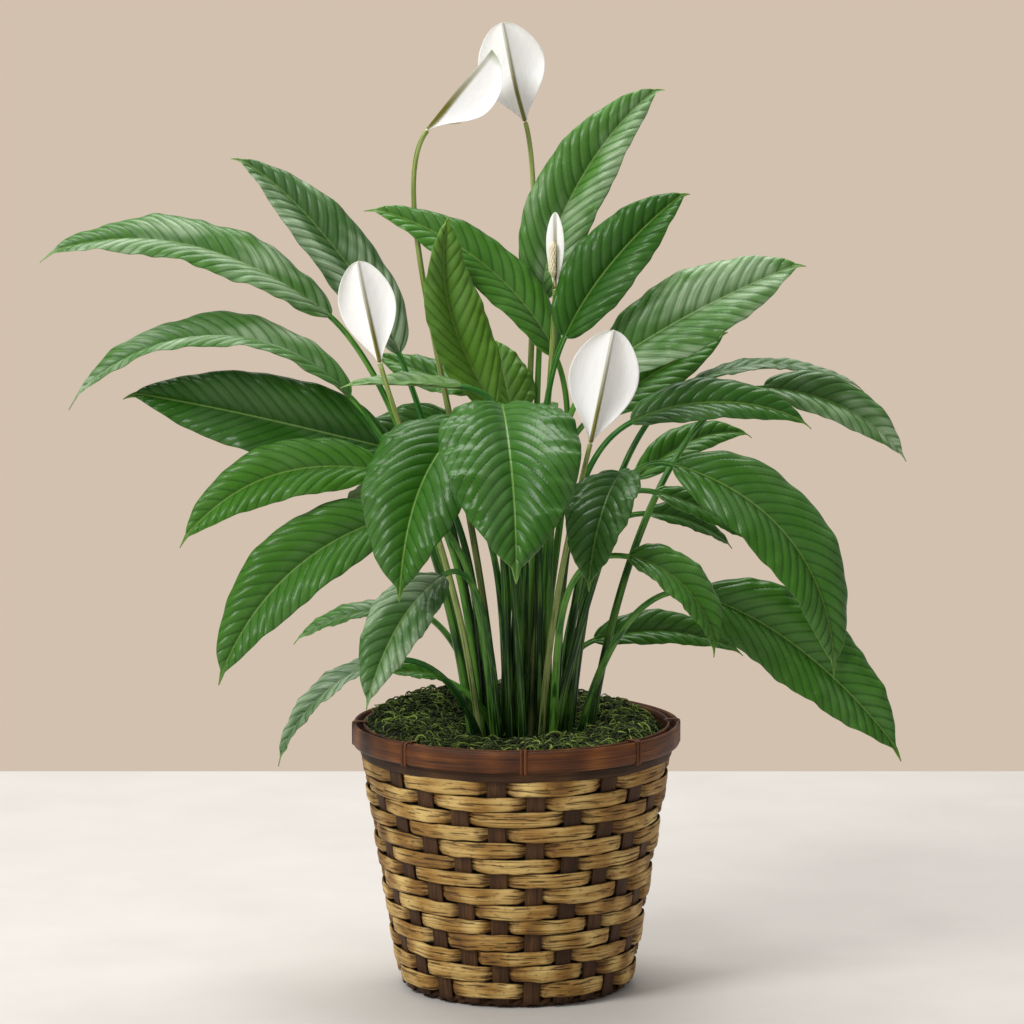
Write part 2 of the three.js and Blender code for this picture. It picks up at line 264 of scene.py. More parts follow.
def bend(row, t, push):
    row["low_bend"] = row["low_bend"] + push * 3 * t * (1 - t) ** 2
    row["high_bend"] = row["high_bend"] + push * 3 * t ** 2 * (1 - t)


def ease_stems_apart(rows):
    """Eases stems apart wherever two of them would touch at one level, by bending both."""
    for _ in range(EASE_PASSES):
        levels = [stem_levels(row) for row in rows]
        for i, a in enumerate(rows):
            for j in range(i + 1, len(rows)):
                for level, (t, point, radius) in levels[i].items():
                    there = levels[j].get(level)
                    if there is None:
                        continue
                    push = level_push(point, there[1], radius + there[2] + STEM_ROOM)
                    if push is not None:
                        bend(a, t, push * EASE_RATE)
                        bend(rows[j], there[0], -push * EASE_RATE)


# ---- Mesh and material helpers ----

def circle(count):
    """Evenly spaced angles of one whole turn."""
    return np.linspace(0, 2 * np.pi, count, endpoint=False)


def make_mesh(name, points, faces, materials, slots=None):
    """A mesh object from points in millimetres."""
    mesh = bpy.data.meshes.new(name)
    mesh.from_pydata((np.asarray(points).reshape(-1, 3) * MM).tolist(), [], faces)
    for material in materials:
        mesh.materials.append(material)
    if slots is not None:
        mesh.polygons.foreach_set("material_index", slots)
    mesh.polygons.foreach_set("use_smooth", [True] * len(mesh.polygons))
    mesh.update()
    piece = bpy.data.objects.new(name, mesh)
    scene.collection.objects.link(piece)
    return piece


def add_numbers(piece, name, values):
    """One number for each point, for a material to read."""
    layer = piece.data.attributes.new(name, "FLOAT", "POINT")
    layer.data.foreach_set("value", np.asarray(values, np.float32).ravel())


def add_places(piece, name, values):
    """Three numbers for each point, for a material to read."""
    layer = piece.data.attributes.new(name, "FLOAT_VECTOR", "POINT")
    layer.data.foreach_set("vector", np.asarray(values, np.float32).ravel())


def declare(piece, slot, *nodes):
    """Every piece rides on the plant's one body."""
    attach(piece, BODY)
    if nodes:
        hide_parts(*nodes)
    return piece


def ring_faces(rings, size, closed_length=False, caps=True):
    """Quads over rings of equal size, numbered one ring after another."""
    faces = []
    last = rings if closed_length else rings - 1
    for ring in range(last):
        near = ring * size
        far = (ring + 1) % rings * size
        for i in range(size):
            after = (i + 1) % size
            faces.append((near + i, near + after, far + after, far + i))
    if caps and not closed_length:
        faces.append(tuple(range(size - 1, -1, -1)))
        faces.append(tuple(range((rings - 1) * size, rings * size)))
    return faces


class Nodes:
    """A short way to write a material's nodes."""

    def __init__(self, name):
        self.material = bpy.data.materials.new(name)
        self.material.use_nodes = True
        self.tree = self.material.node_tree
        self.shader = self.tree.nodes["Principled BSDF"]

    def add(self, kind):
        return self.tree.nodes.new(kind)

    def put(self, socket, value):
        if isinstance(value, bpy.types.NodeSocket):
            self.tree.links.new(value, socket)
        else:
            socket.default_value = value

    def fill(self, node, **inputs):
        """Sets a node's inputs: an underscore stands for each space in an input's name."""
        for key, value in inputs.items():
            self.put(node.inputs[key.replace("_", " ")], value)

    def attribute(self, name, output):
        node = self.add("ShaderNodeAttribute")
        node.attribute_name = name
        return node.outputs[output]

    def number(self, name):
        return self.attribute(name, "Fac")

    def place(self, name):
        return self.attribute(name, "Vector")

    def object_place(self):
        return self.add("ShaderNodeTexCoord").outputs["Object"]

    def math(self, operation, a, b=0.0, clamp=False):
        node = self.add("ShaderNodeMath")
        node.operation = operation
        node.use_clamp = clamp
        self.put(node.inputs[0], a)
        self.put(node.inputs[1], b)
        return node.outputs[0]

    def plus(self, a, b, clamp=False):
        return self.math("ADD", a, b, clamp)

    def times(self, a, b):
        return self.math("MULTIPLY", a, b)

    def scaled(self, vector, scale):
        node = self.add("ShaderNodeVectorMath")
        node.operation = "MULTIPLY"
        self.put(node.inputs[0], vector)
        node.inputs[1].default_value = scale
        return node.outputs[0]

    def noise(self, vector, scale, detail=4.0, rough=0.55):
        node = self.add("ShaderNodeTexNoise")
        self.fill(node, Vector=vector, Scale=scale, Detail=detail, Roughness=rough)
        return node.outputs["Fac"]

    def fade(self, value, low, high, out_low=0.0, out_high=1.0):
        node = self.add("ShaderNodeMapRange")
        node.interpolation_type = "SMOOTHSTEP"
        self.fill(node, Value=value, From_Min=low, From_Max=high, To_Min=out_low, To_Max=out_high)
        return node.outputs[0]

    def mix(self, amount, a, b):
        node = self.add("ShaderNodeMix")
        node.data_type = "RGBA"
        self.put(node.inputs[0], amount)
        self.put(node.inputs[6], a)
        self.put(node.inputs[7], b)
        return node.outputs[2]

    def ramp(self, value, *stops):
        node = self.add("ShaderNodeValToRGB")
        self.put(node.inputs[0], value)
        elements = node.color_ramp.elements
        while len(elements) < len(stops):
            elements.new(0.5)
        for element, (place, colour) in zip(elements, stops):
            element.position = place
            element.color = colour
        return node.outputs[0]

    def bump(self, height, strength, distance_mm):
        node = self.add("ShaderNodeBump")
        self.fill(node, Strength=strength, Distance=distance_mm * MM, Height=height)
        self.put(self.shader.inputs["Normal"], node.outputs[0])

    def finish(self, **inputs):
        self.fill(self.shader, **inputs)
        return self.material


def rgb(red, green, blue):
    """A colour from its display values, 0 to 255."""
    def linear(value):
        value /= 255
        return value / 12.92 if value <= 0.04045 else ((value + 0.055) / 1.055) ** 2.4
    return (linear(red), linear(green), linear(blue), 1.0)


# ---- Materials ----

# A pale grey-green for painted sheen: the lights' reflection on glossy leaves, painted into their colour.
PAINTED_SHEEN_COLOUR = rgb(172, 192, 160)


def leaf_material(name, dark, light, pale, roughness):
    """A blade: its tone and its painted sheen, a pale reflection painted into the colour, differ by leaf;
    its sunken veins are darkened with painted shade, and its midrib and edge are pale.
    """
    n = Nodes(name)
    where = n.place("leaf_place")
    patches = n.noise(n.scaled(where, (0.05, 0.012, 0.0)), 1.0, 3.0)
    tone = n.times(n.number("tone"), 0.5)
    base = n.mix(n.plus(n.times(patches, 0.5), tone, clamp=True), dark, light)
    phase = n.math("FRACT", n.number("vein"))
    from_vein = n.math("MINIMUM", phase, n.math("SUBTRACT", 1.0, phase))
    vein = n.fade(from_vein, 0.0, 0.17, 1.0, 0.0)
    fine = n.noise(n.scaled(where, (0.3, 0.9, 0.0)), 1.0, 4.0)
    # The veins are painted darker: painted shade in their sunken grooves.
    colour = n.mix(n.times(vein, 0.5), base, dark)
    colour = n.mix(n.fade(fine, 0.4, 0.75, 0.0, 0.2), colour, dark)
    rib = n.fade(n.number("rib_mm"), 0.25, 0.95, 1.0, 0.0)
    colour = n.mix(n.times(rib, 0.42), colour, pale)
    edge = n.fade(n.number("edge_mm"), 0.1, 0.7, 0.7, 0.0)
    colour = n.mix(edge, colour, pale)
    # Painted sheen: streaks of pale reflection between the veins, in broad patches, scaled for each leaf.
    broad = n.fade(n.noise(n.scaled(where, (0.04, 0.014, 0.0)), 1.0, 2.0), 0.42, 0.62, 0.12, 0.75)
    sheen_streak = n.noise(n.scaled(n.place("vein_place"), (0.05, 5.0, 0.0)), 1.0, 2.0)
    sheen_streak = n.times(n.fade(sheen_streak, 0.3, 0.7, 0.5, 1.0), n.fade(from_vein, 0.0, 0.3, 0.45, 1.0))
    bloom = n.times(n.number("bloom"), n.times(broad, sheen_streak))
    colour = n.mix(bloom, colour, PAINTED_SHEEN_COLOUR)
    n.bump(n.plus(n.times(fine, 0.25), n.times(vein, -0.6)), 0.45, 0.5)
    rough = n.plus(n.times(fine, 0.14), roughness)
    return n.finish(Base_Color=colour, Roughness=rough, Specular_IOR_Level=0.22,
                    Sheen_Weight=0.05, Sheen_Roughness=0.35, Sheen_Tint=(0.82, 0.95, 0.86, 1.0))


def stem_material(name, low, high, painted_highlight):
    """A petiole or stalk: painted shade darkens its foot, it is greener above, and painted highlights streak
    it along its length.
    """
    n = Nodes(name)
    where = n.place("leaf_place")
    streaks = n.noise(n.scaled(where, (1.3, 0.03, 0.0)), 1.0, 4.0)
    up_stem = n.plus(n.number("height"), n.times(n.number("tone"), 0.4), clamp=True)
    # Painted shade: darker towards the foot, among the crowded stems.
    base = n.mix(n.fade(up_stem, 0.2, 1.0), low, high)
    lighter = n.plus(streaks, n.times(n.number("tone"), 0.22))
    # Painted highlights: lighter streaks along the stem, more on stems of a higher tone.
    colour = n.mix(n.fade(lighter, 0.5, 0.72, 0.0, 0.75), base, painted_highlight)
    n.bump(streaks, 0.35, 0.3)
    rough = n.fade(streaks, 0.2, 0.8, 0.3, 0.42)
    return n.finish(Base_Color=colour, Roughness=rough, Specular_IOR_Level=0.3)


def spathe_material():
    """White, with faint grey-green veins along it and an olive midrib that fades upwards."""
    n = Nodes("spathe")
    where = n.place("leaf_place")
    veins = n.noise(n.scaled(where, (0.8, 0.05, 0.0)), 1.0, 4.0)
    colour = n.mix(n.fade(veins, 0.42, 0.78, 0.0, 0.4), rgb(250, 249, 247), rgb(224, 226, 216))
    rib = n.fade(n.number("rib_mm"), 0.9, 2.0, 1.0, 0.0)
    colour = n.mix(n.times(rib, n.number("rib_green")), colour, rgb(112, 108, 12))
    colour = n.mix(n.number("green_tip"), colour, rgb(118, 142, 84))
    n.bump(veins, 0.3, 0.5)
    rough = n.fade(veins, 0.2, 0.8, 0.42, 0.58)
    return n.finish(Base_Color=colour, Roughness=rough,
                    Subsurface_Weight=0.2, Subsurface_Radius=(0.004, 0.004, 0.003))


def spadix_material():
    n = Nodes("spadix")
    beads = n.number("bead")
    # The gaps between the beads are painted darker than the bead tops: painted shade.
    colour = n.mix(beads, rgb(214, 198, 150), rgb(250, 245, 222))
    n.bump(beads, 0.3, 0.3)
    return n.finish(Base_Color=colour, Roughness=n.fade(beads, 0.0, 1.0, 0.8, 0.55))


def cane_material(name, dark, middle, light, roughness, stain_and_shade=None):
    """Split cane: fibre lines along the strip, which runs along the first number of its place.

    Given a stain colour, it has painted shade in its cracks, at its edges and where it dips in the weave,
    and real stains in blotches.
    """
    n = Nodes(name)
    where = n.place("cane_place")
    fibres = n.noise(n.scaled(where, (0.014, 0.7, 0.0)), 1.0, 6.0, 0.75)
    patches = n.noise(n.scaled(where, (0.035, 0.16, 0.0)), 1.0, 3.0)
    tone = n.plus(n.times(patches, 0.7), n.number("tone"))
    value = n.plus(n.times(fibres, 0.5), n.times(tone, 0.42))
    colour = n.ramp(value, (0.3, dark), (0.5, middle), (0.72, light))
    lines = n.fade(n.noise(n.scaled(where, (0.012, 0.9, 0.0)), 1.0, 2.0), 0.32, 0.4, 0.85, 0.0)
    colour = n.mix(lines, colour, dark)
    if stain_and_shade is not None:
        # Painted shade, near black, in the open cracks and along the face's top and bottom edges.
        colour = n.mix(n.times(n.number("crack"), 0.92), colour, rgb(34, 19, 10))
        blotch = n.noise(n.scaled(where, (0.16, 0.4, 0.0)), 1.0, 5.0, 0.65)
        # Painted shade where the weaver dips behind a stake, broken by blotches; the other blotches are real
        # stains.
        ends = n.times(n.number("dip"), n.fade(blotch, 0.34, 0.56, 0.3, 1.0))
        near = n.plus(ends, n.fade(blotch, 0.54, 0.66, 0.0, 0.75), clamp=True)
        near = n.times(near, n.fade(fibres, 0.35, 0.65, 1.0, 0.5))
        colour = n.mix(near, colour, stain_and_shade)
    n.bump(n.math("SUBTRACT", fibres, n.times(lines, 0.6)), 0.7, 0.7)
    rough = n.plus(n.times(fibres, 0.3), roughness)
    return n.finish(Base_Color=colour, Roughness=rough, Specular_IOR_Level=0.28)


def moss_material(name, darkest, middle, lightest):
    n = Nodes(name)
    grain = n.noise(n.object_place(), 900.0, 3.0)
    mixed = n.plus(n.number("tone"), n.times(n.math("SUBTRACT", grain, 0.5), 0.4))
    colour = n.ramp(mixed, (0.0, darkest), (0.55, middle), (1.0, lightest))
    n.bump(grain, 0.5, 0.5)
    return n.finish(Base_Color=colour, Roughness=n.fade(grain, 0.2, 0.8, 0.85, 1.0))


def grainy_material(name, dark, light, scale, roughness):
    """A plain hidden surface, such as soil or a moulded pot."""
    n = Nodes(name)
    grain = n.noise(n.object_place(), scale, 6.0)
    n.bump(grain, 0.4, 0.6)
    rough = n.fade(grain, 0.2, 0.8, roughness, roughness + 0.15)
    return n.finish(Base_Color=n.mix(grain, dark, light), Roughness=rough)


LEAF_TOP = leaf_material("leaf_top", rgb(14, 60, 8), rgb(74, 132, 28), rgb(138, 170, 84), 0.25)
LEAF_UNDER = leaf_material("leaf_under", rgb(52, 84, 36), rgb(106, 136, 66), rgb(150, 170, 104), 0.46)
YOUNG_TOP = leaf_material("young_leaf_top", rgb(50, 96, 18), rgb(104, 150, 38), rgb(150, 176, 86), 0.36)
YOUNG_UNDER = leaf_material("young_leaf_under", rgb(66, 104, 26), rgb(118, 156, 50),
                            rgb(156, 180, 92), 0.45)
# Stem colours: the foot, darker as painted shade; higher up; and the painted highlight streaks.
PETIOLE = stem_material("petiole", rgb(8, 38, 12), rgb(38, 100, 30), rgb(104, 156, 58))
STALK = stem_material("stalk", rgb(20, 54, 15), rgb(102, 124, 48), rgb(166, 180, 106))
SPATHE = spathe_material()
SPADIX = spadix_material()
# The straw's last colour serves for real stains and for painted shade where the weavers dip.
STRAW = cane_material("straw", rgb(70, 38, 14), rgb(160, 120, 56), rgb(230, 200, 128), 0.42, rgb(74, 36, 13))
DARK_CANE = cane_material("dark_cane", rgb(26, 14, 7), rgb(64, 40, 20), rgb(112, 78, 44), 0.5)
RED_CANE = cane_material("red_cane", rgb(36, 17, 8), rgb(96, 52, 20), rgb(150, 92, 38), 0.34)
MOSS_STRAND = moss_material("moss_strand", rgb(26, 30, 10), rgb(72, 88, 32), rgb(134, 156, 66))
# The bed under the strands is painted much darker than they are: painted shade beneath the tangle.
MOSS_BED = moss_material("moss_bed", rgb(14, 15, 6), rgb(32, 38, 14), rgb(62, 72, 30))
SOIL = grainy_material("soil", rgb(22, 15, 10), rgb(62, 46, 32), 400.0, 0.85)
POT = grainy_material("pot_plastic", rgb(20, 20, 20), rgb(38, 38, 38), 1500.0, 0.45)
BASE = grainy_material("base_board", rgb(44, 26, 15), rgb(88, 56, 34), 120.0, 0.6)

# ---- Leaves ----

HALF_COLUMNS = 22
STEM_ROWS = 36
VEIN_GAP = 10.5
ROWS_PER_VEIN = 9
VEIN_SLANT = 1.3
DRIP_TIP = 0.04
TIP_HOOK = 0.02
LEAST_ROWS = 60
TIP_RADIUS = 0.35
FLARE_WIDTH = 4.0
EDGE_THICK = 0.28
RIB_THICK = 0.2
CHANNEL_DEPTH = 0.5
CHANNEL_WIDTH = 1.2
GROOVE_DEPTH = 0.45
GROOVE_WIDTH = 0.35


def blade_outline(t):
    """Half width along a leaf: broad to near its end, with a short narrow drip tip."""
    body = np.clip(t / (1 - DRIP_TIP), 0, 1)
    broad = np.sin(np.pi * body ** 0.8).clip(0) ** (0.62 + 0.08 * t)
    drip = 0.11 * np.clip((1 - t) / (2.2 * DRIP_TIP), 0, 1) ** 0.8 * smooth_step(np.clip(t * 3, 0, 1))
    return np.maximum(broad, drip)


def spathe_outline(t):
    return np.sin(np.pi * np.clip(t, 0, 1) ** 1.25).clip(0) ** (1 - 0.45 * t)


def columns():
    """Places across a blade from -1 at its left edge to 1, closer together at the midrib."""
    v = np.linspace(-1, 1, 2 * HALF_COLUMNS + 1)
    return np.sign(v) * np.abs(v) ** 1.2


def smooth_step(t):
    return t * t * (3 - 2 * t)


def stem_frames(row, t_values):
    """Points along a petiole or stalk, with the upper and right-hand side at each."""
    controls = stem_controls(row)
    points = bezier(controls, t_values)
    level_right = blade_frame(row, 0.0, roll=0.0)[2]
    ups, rights = [], []
    for t, along in zip(t_values, bezier_tangent(controls, t_values)):
        right = level_right - along * np.dot(level_right, along)
        right /= np.linalg.norm(right)
        up, right = rolled(np.cross(right, along), right, math.radians(row["roll"]) * smooth_step(t))
        ups.append(up)
        rights.append(right)
    return points, np.array(ups), np.array(rights)


def blade_frames(row, t_values):
    frames = [blade_frame(row, t) for t in t_values]
    return midrib_points(row, t_values), np.array([f[1] for f in frames]), np.array([f[2] for f in frames])


def vein_phase(row, t, size, half):
    """Counts lateral veins along the blade. They leave the midrib and run forwards to the edge."""
    forward = VEIN_SLANT * half * size ** 1.15 / row["length"]
    return row["length"] / VEIN_GAP * (t - forward)


def edge_waves(row, t, side):
    """Slow and quick waves of a blade's edge, different on its two sides."""
    turns = 2 * np.pi * (t * row["waves"] + row["phase"]) + side * 1.9
    quick = 2 * np.pi * (t * row["waves"] * 4.1 + row["phase"] * 3) + side * 4.0
    return np.sin(turns) + 0.5 * np.sin(2.3 * turns) + row["crinkle"] * np.sin(quick)


def spine(row, stem_t, blade_t):
    """Points from the crown to the tip, with the upper and right-hand side at each."""
    p1, up1, right1 = stem_frames(row, stem_t)
    p2, up2, right2 = blade_frames(row, blade_t)
    hook = np.clip((blade_t - 1 + 2 * DRIP_TIP) / (2 * DRIP_TIP), 0, 1) ** 2
    p2[:, 2] -= hook * TIP_HOOK * row["length"] * row["hook"]
    return np.vstack([p1, p2]), np.vstack([up1, up2]), np.vstack([right1, right2])


def blade_lift(row, size, half, flare, phase, relief):
    """Rise of a blade above its midrib: its fold, its bulge and the quilting between veins."""
    fold = math.radians(row["fold"] * row["fold_share"])
    lift = half * math.sin(fold) * size ** 0.85
    lift = lift + half * (0.12 * np.sin(np.pi * size) - 0.07 * size ** 4)
    quilt = np.abs(np.sin(np.pi * phase)) ** 0.6 - 0.5
    calm = np.minimum(1, (1 - size) * 5) * np.minimum(1, size * 7)
    return lift + relief * quilt * calm * flare


def leaf_skin(row, outline, relief, ripple):
    """Points and facts of one leaf or spathe with its stem: rings of a top and an under row."""
    u = columns()
    size = np.abs(u)[None, :]
    stem_t = np.linspace(0, 1, STEM_ROWS, endpoint=False)
    rows = max(LEAST_ROWS, round(row["length"] / VEIN_GAP * ROWS_PER_VEIN))
    blade_t = np.linspace(0, 1, rows)
    centre, up, right = spine(row, stem_t, blade_t)
    t = np.concatenate([np.zeros(STEM_ROWS), blade_t])
    is_blade = np.concatenate([np.zeros(STEM_ROWS), np.ones(len(blade_t))])
    radius = np.concatenate([
        row["thin"] + (row["thick"] - row["thin"]) * (1 - stem_t) ** 1.5,
        np.maximum(row["thin"] * (1 - blade_t), TIP_RADIUS),
    ])[:, None]
    half = (row["width"] / 2 * outline(t) * is_blade)[:, None]
    flare = half / (half + FLARE_WIDTH)
    t_column = t[:, None]

    flat_part = half * math.cos(math.radians(row["fold"] * row["fold_share"])) * u
    across = np.sqrt((radius * np.sin(np.pi / 2 * u)) ** 2 + flat_part ** 2) * np.sign(u)
    tube = np.sqrt(np.clip(radius ** 2 - across ** 2, 0, None))
    phase = vein_phase(row, t_column, size, half)
    lift = blade_lift(row, size, half, flare, phase, relief)
    waves = edge_waves(row, t_column, np.where(u > 0, 0.0, 1.0)[None, :])
    lift = lift + ripple * size ** 2.5 * flare * waves
    sway = row["sway"] * np.sin(2 * np.pi * (t * 0.8 + row["phase"])) * is_blade * np.sin(np.pi * t) ** 0.5

    thickness = EDGE_THICK + RIB_THICK * (1 - size)
    channel = CHANNEL_DEPTH * flare * np.exp(-(across / CHANNEL_WIDTH) ** 2)
    groove = GROOVE_DEPTH * radius * np.exp(-(across / (GROOVE_WIDTH * radius)) ** 2) * (1 - flare)
    top = lift + tube * (1 - 0.95 * flare) - channel - groove
    under = lift - tube - thickness * np.maximum(flare, 0.3)
    base = centre[:, None, :] + right[:, None, :] * (across + sway[:, None])[:, :, None]
    top_points = base + up[:, None, :] * top[:, :, None]
    under_points = base + up[:, None, :] * under[:, :, None]
    points = np.concatenate([top_points, under_points[:, ::-1]], axis=1)

    def both(values):
        values = np.broadcast_to(values, across.shape)
        return np.concatenate([values, values[:, ::-1]], axis=1)

    length_mm = np.concatenate([-(1 - stem_t) * 300, blade_t * row["length"]])[:, None]
    off_blade = (1 - is_blade[:, None]) * 9
    facts = {
        "vein": both(phase + 40.0),
        "rib_mm": both(np.abs(across) + off_blade),
        "edge_mm": both((half - np.abs(across)).clip(0) + off_blade + (size < 0.5) * 5),
        "height": both(np.concatenate([stem_t, np.ones(len(blade_t))])[:, None]),
        "t": both(t_column),
    }
    shift = row["phase"] * 500
    flat = both(np.zeros_like(across))
    place = np.stack([both(across) + shift, both(length_mm), flat], axis=2)
    vein_place = np.stack([both(across) + shift, both(phase * np.sign(u + 1e-9)), flat], axis=2)
    return points, facts, place, vein_place


def skin_piece(name, row, outline, relief, ripple, materials, rows=slice(None)):
    """A closed skin from leaf_skin. materials are for the stem, the upper and the under side."""
    points, facts, place, vein_place = leaf_skin(row, outline, relief, ripple)
    points, place, vein_place = points[rows], place[rows], vein_place[rows]
    facts = {key: value[rows] for key, value in facts.items()}
    rings, size = points.shape[:2]
    faces = ring_faces(rings, size)
    stem = min(rings - 1, STEM_ROWS + 1 - (rows.start or 0))
    across = [1] * (size // 2) + [2] * (size - size // 2)
    slots = [0] * size * stem + across * (rings - 1 - stem) + [0, 1]
    piece = make_mesh(name, points, faces, materials, slots)
    for key in ("vein", "rib_mm", "edge_mm", "height"):
        add_numbers(piece, key, facts[key])
    # Each leaf's random tone, and how much painted sheen its colour gets.
    for key in ("tone", "bloom"):
        add_numbers(piece, key, np.full(facts["t"].size, row[key]))
    add_places(piece, "leaf_place", place)
    add_places(piece, "vein_place", vein_place)
    return piece, facts


def give_habits(row):
    """Small differences between one leaf and the next."""
    row.update(
        phase=rng.random(),
        waves=2.2 + 2.0 * rng.random(),
        sway=0.012 * row["length"] * (rng.random() - 0.5) * 2,
        tone=rng.random(),
        fold_share=0.7 + 0.8 * rng.random(),
        hook=0.6 + 0.9 * rng.random(),
        crinkle=0.28,
        bloom=0.0,
    )


def make_leaf(row, index):
    # Leaves listed for painted sheen get all of it, and the others a little.
    row["bloom"] = 1.0 if index in PAINTED_SHEEN_LEAVES else PLAIN_PAINTED_SHEEN
    relief = 1.7 * min(1.0, row["width"] / 50)
    ripple = 0.032 * row["width"]
    name = f"leaf_{index + 1:02d}"
    under, top = (YOUNG_UNDER, YOUNG_TOP) if index in YOUNG_LEAVES else (LEAF_UNDER, LEAF_TOP)
    piece, _ = skin_piece(name + "_living", row, blade_outline, relief, ripple, [PETIOLE, top, under])
    declare(piece, "leaf", name)


# ---- Flowers ----

SPADIX_RINGS = 110
SPADIX_AROUND = 40
BEAD_SPIRALS = 8
BEAD_PITCH = 2.6
BEAD_HEIGHT = 0.55


def make_spadix(name, row):
    """A spike of small beads in crossing spirals, on a short foot from the stalk's top."""
    length = row["length"] * 0.52 + 6
    radius = min(4.5, row["width"] * 0.16)
    along, up, right = blade_frame(row, 0.0)
    s = np.linspace(0, 1, SPADIX_RINGS)[:, None]
    angle = circle(SPADIX_AROUND)[None, :]
    climb = length / BEAD_PITCH * np.pi * s
    rising = np.cos(BEAD_SPIRALS * angle + climb)
    falling = np.cos(BEAD_SPIRALS * angle - climb)
    on_spike = np.clip((s - 0.26) * 10, 0, 1)
    bead = np.clip(0.5 + 0.25 * (rising + falling), 0, 1) ** 1.3 * on_spike
    body = radius * (0.2 + 0.74 * np.clip((s - 0.22) * 6, 0, 1))
    body = body * np.sqrt(np.clip((1.003 - s) * 9, 0, 1))
    r = body + BEAD_HEIGHT * bead * np.sqrt(np.clip((1.01 - s) * 9, 0, 1))
    clear = (radius + 2.6) / math.cos(math.radians(row["fold"])) ** 1.6
    forward = clear * smooth_step(np.minimum(1, s * 2))
    centre = row["knee"] + along * (s * length)[:, :, None] + up * forward[:, :, None]
    outward = right * np.cos(angle)[:, :, None] + up * np.sin(angle)[:, :, None]
    points = centre + outward * r[:, :, None]
    faces = ring_faces(SPADIX_RINGS, SPADIX_AROUND)
    piece = make_mesh(name + "_beaded", points, [f[::-1] for f in faces], [SPADIX])
    add_numbers(piece, "bead", np.broadcast_to(bead, r.shape))
    declare(piece, "spadix", name)


def make_flower(row, index, green_tip):
    """A stalk, its spathe and its spadix. An open spathe is flatter than its CAD solid."""
    name = f"flower_{index + 1}"
    row.update(fold_share=min(1.0, row["fold"] / 40), hook=0.0, crinkle=0.0, waves=0.9)
    materials = [STALK, SPATHE, SPATHE]
    stalk, _ = skin_piece(name + "_stalk_living", row, spathe_outline, 0.0, 0.0,
                          materials, slice(0, STEM_ROWS + 1))
    declare(stalk, "stalk", name + "_stalk")
    spathe, facts = skin_piece(name + "_spathe_living", row, spathe_outline, 0.12,
                               0.03 * row["width"], materials, slice(STEM_ROWS + 1, None))
    t = facts["t"]
    add_numbers(spathe, "rib_green", np.clip(1.3 - 1.0 * t, 0, 1))
    add_numbers(spathe, "green_tip", np.clip((t - 0.9) * 10, 0, 1) * green_tip)
    declare(spathe, "spathe", name + "_spathe")
    make_spadix(name + "_spadix", row)


# ---- Basket ----

STAKES = 24
ROWS = 14
WALL_BOTTOM = WALL_LOW[2]
WEAVE_TOP = RIM_BOTTOM - 6.0
ROW_VARIATION = 0.3
WEAVER_STEPS = 960
WEAVER_FACE = 26
WEAVER_BACK = 4
STAKE_WIDTH = 14.0
STAKE_RINGS = 40
STAKE_AROUND = 10
STAKE_BOTTOM = 3.0
STAKE_TOP = RIM_BOTTOM + 8
HOOP_STEPS = 480
LASHINGS = 8
LASHING_HALF_WIDTH = 1.1
LASHING_HALF_THICK = 0.3
LASHING_AROUND = 8
FOOT_TWISTS = 26
WEAVE_PERIOD = 3
WALL_MIDDLE = 1.8
OVER_STAKE = 1.5
BEHIND_STAKE = 2.8
FLOAT_ARCH = 1.5
CANE_THICK = 1.1
WALL_LEAN = 0.14


def wall_radius(height):
    """Middle of the woven wall at a height: it tapers evenly to the foot."""
    share = (height - WALL_BOTTOM) / (WALL_HIGH[2] - WALL_BOTTOM)
    return WALL_BOTTOM_RADIUS + (WALL_TOP_RADIUS - WALL_BOTTOM_RADIUS) * share - WALL_MIDDLE


def strip_ring(name, path, section, material, facts, lean=0.0):
    """A closed strip round the basket.

    path has the radius and the height of its middle at each step round. section has how far out
    and how far up from there each point of its outline is. facts are numbers for the material.
    """
    (radius, height), (out, tall) = path, section
    steps = len(radius)
    angle = circle(steps)
    r = radius[:, None] + out + lean * tall
    z = height[:, None] + tall
    points = np.stack([r * np.cos(angle)[:, None], r * np.sin(angle)[:, None], z], axis=2)
    faces = ring_faces(steps, out.shape[1], closed_length=True)
    piece = make_mesh(name, points, [f[::-1] for f in faces], [material])
    length = np.broadcast_to((angle * 100.0)[:, None], r.shape)
    shift = rng.random() * 900
    add_places(piece, "cane_place", np.stack([length + shift, z + shift, r * 0], axis=2))
    for key, values in facts.items():
        values = np.asarray(values)
        add_numbers(piece, key, np.broadcast_to(values[:, None] if values.ndim == 1 else values, r.shape))
    return piece


def flat_section(steps, half_thick, half_tall):
    """The outline of a flat strip with rounded edges, the same all the way round."""
    corner = circle(12) + 0.26
    out = half_thick * np.sign(np.cos(corner)) * np.abs(np.cos(corner)) ** 0.7
    tall = half_tall * np.sign(np.sin(corner)) * np.abs(np.sin(corner)) ** 0.55
    return np.broadcast_to(out, (steps, 12)), np.broadcast_to(tall, (steps, 12))


def ripple_round(steps, count, size):
    """A smooth random value for each step round the basket, that joins up with itself."""
    angle = circle(steps)
    value = np.zeros(steps)
    for k in range(1, count):
        value += np.cos(k * angle + rng.random() * FULL_TURN) * (rng.random() - 0.5)
    return value / max(1e-6, np.abs(value).max()) * size


def under_amount(steps, row):
    """1 where the weaver passes behind a stake, and 1 at the middle of its float over two."""
    angle = np.degrees(circle(steps))
    spacing = 360 / STAKES
    first = FRONT - spacing / 2 + spacing * row
    period = spacing * WEAVE_PERIOD
    away = np.abs((angle - first + period / 2) % period - period / 2)
    return 1 / (1 + np.exp((away - 5.4) * 1.5)), np.sin(np.pi / 2 * away / (period / 2)) ** 2


